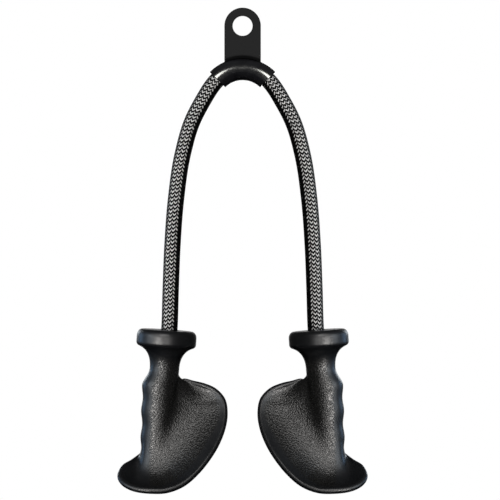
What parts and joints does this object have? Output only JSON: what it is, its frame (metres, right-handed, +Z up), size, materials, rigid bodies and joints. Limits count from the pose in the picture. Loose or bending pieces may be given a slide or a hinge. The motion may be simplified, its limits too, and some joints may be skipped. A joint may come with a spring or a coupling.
{
  "type": "triceps rope attachment",
  "caption": "Triceps pulldown rope: a hang eye on a bent guide tube, a braided rope through it, and swivelling moulded handles with dished palm wings on the rope's ends.",
  "frame": {"origin": "centre of the hang eye, on the middle plane of the hanger plate", "axes": "+X from the left arm to the right arm as seen from the front, -Y towards the front, where the palm wings face, +Z up along the pull"},
  "size_m": [0.247, 0.0818, 0.4813],
  "materials": {
    "black_paint": "satin",
    "braided_rope": "matte",
    "moulded_grip": "satin",
    "zinc_steel": "satin",
    "ferrule_aluminium": "satin",
    "plug_plastic": "matte"
  },
  "bodies": {
    "hanger": {"hanger_plate": "black_paint", "guide_tube": "black_paint", "rope_crown": "braided_rope"},
    "upper_rope_left": {"rope_upper_left": "braided_rope"},
    "middle_rope_left": {"rope_middle_left": "braided_rope"},
    "rope_end_left": {"rope_lower_left": "braided_rope", "rope_tail_left": "braided_rope", "thrust_washer_left": "zinc_steel", "end_ferrule_left": "ferrule_aluminium"},
    "grip_left": {"handle_left": "moulded_grip", "core_tube_left": "zinc_steel", "end_plug_left": "plug_plastic"},
    "upper_rope_right": {"rope_upper_right": "braided_rope"},
    "middle_rope_right": {"rope_middle_right": "braided_rope"},
    "rope_end_right": {"rope_lower_right": "braided_rope", "rope_tail_right": "braided_rope", "thrust_washer_right": "zinc_steel", "end_ferrule_right": "ferrule_aluminium"},
    "grip_right": {"handle_right": "moulded_grip", "core_tube_right": "zinc_steel", "end_plug_right": "plug_plastic"}
  },
  "joints": [
    {"name": "spread_left", "type": "hinge", "parent": "hanger", "child": "upper_rope_left", "pos_m": [-0.03903, 0, -0.07358], "axis": [0, 1, 0], "range_deg": [-1.5, 45], "stiffness_Nm_per_rad": 0.25, "springref_deg": 24.58, "deforming": ["rope_upper_left"]},
    {"name": "sway_left", "type": "hinge", "parent": "upper_rope_left", "child": "middle_rope_left", "pos_m": [-0.05739, 0, -0.1177], "axis": [1, 0, 0], "range_deg": [-45, 45], "stiffness_Nm_per_rad": 0.25, "springref_deg": -2.41, "deforming": ["rope_middle_left"]},
    {"name": "tilt_left", "type": "hinge", "parent": "middle_rope_left", "child": "rope_end_left", "pos_m": [-0.07236, 0, -0.28022], "axis": [0, 1, 0], "range_deg": [-2, 40], "stiffness_Nm_per_rad": 0.25, "springref_deg": 1.78, "deforming": ["rope_lower_left"]},
    {"name": "swivel_left", "type": "hinge", "parent": "rope_end_left", "child": "grip_left", "pos_m": [-0.0733, 0, -0.3042], "axis": [0.068, 0, 0.9977], "continuous": true},
    {"name": "spread_right", "type": "hinge", "parent": "hanger", "child": "upper_rope_right", "pos_m": [0.03903, 0, -0.07358], "axis": [0, -1, 0], "range_deg": [-1.5, 45], "stiffness_Nm_per_rad": 0.25, "springref_deg": 24.58, "deforming": ["rope_upper_right"]},
    {"name": "sway_right", "type": "hinge", "parent": "upper_rope_right", "child": "middle_rope_right", "pos_m": [0.05739, 0, -0.1177], "axis": [1, 0, 0], "range_deg": [-45, 45], "stiffness_Nm_per_rad": 0.25, "springref_deg": -2.41, "deforming": ["rope_middle_right"]},
    {"name": "tilt_right", "type": "hinge", "parent": "middle_rope_right", "child": "rope_end_right", "pos_m": [0.07236, 0, -0.28022], "axis": [0, -1, 0], "range_deg": [-2, 40], "stiffness_Nm_per_rad": 0.25, "springref_deg": 1.78, "deforming": ["rope_lower_right"]},
    {"name": "swivel_right", "type": "hinge", "parent": "rope_end_right", "child": "grip_right", "pos_m": [0.0733, 0, -0.3042], "axis": [-0.068, 0, 0.9977], "continuous": true}
  ]
}
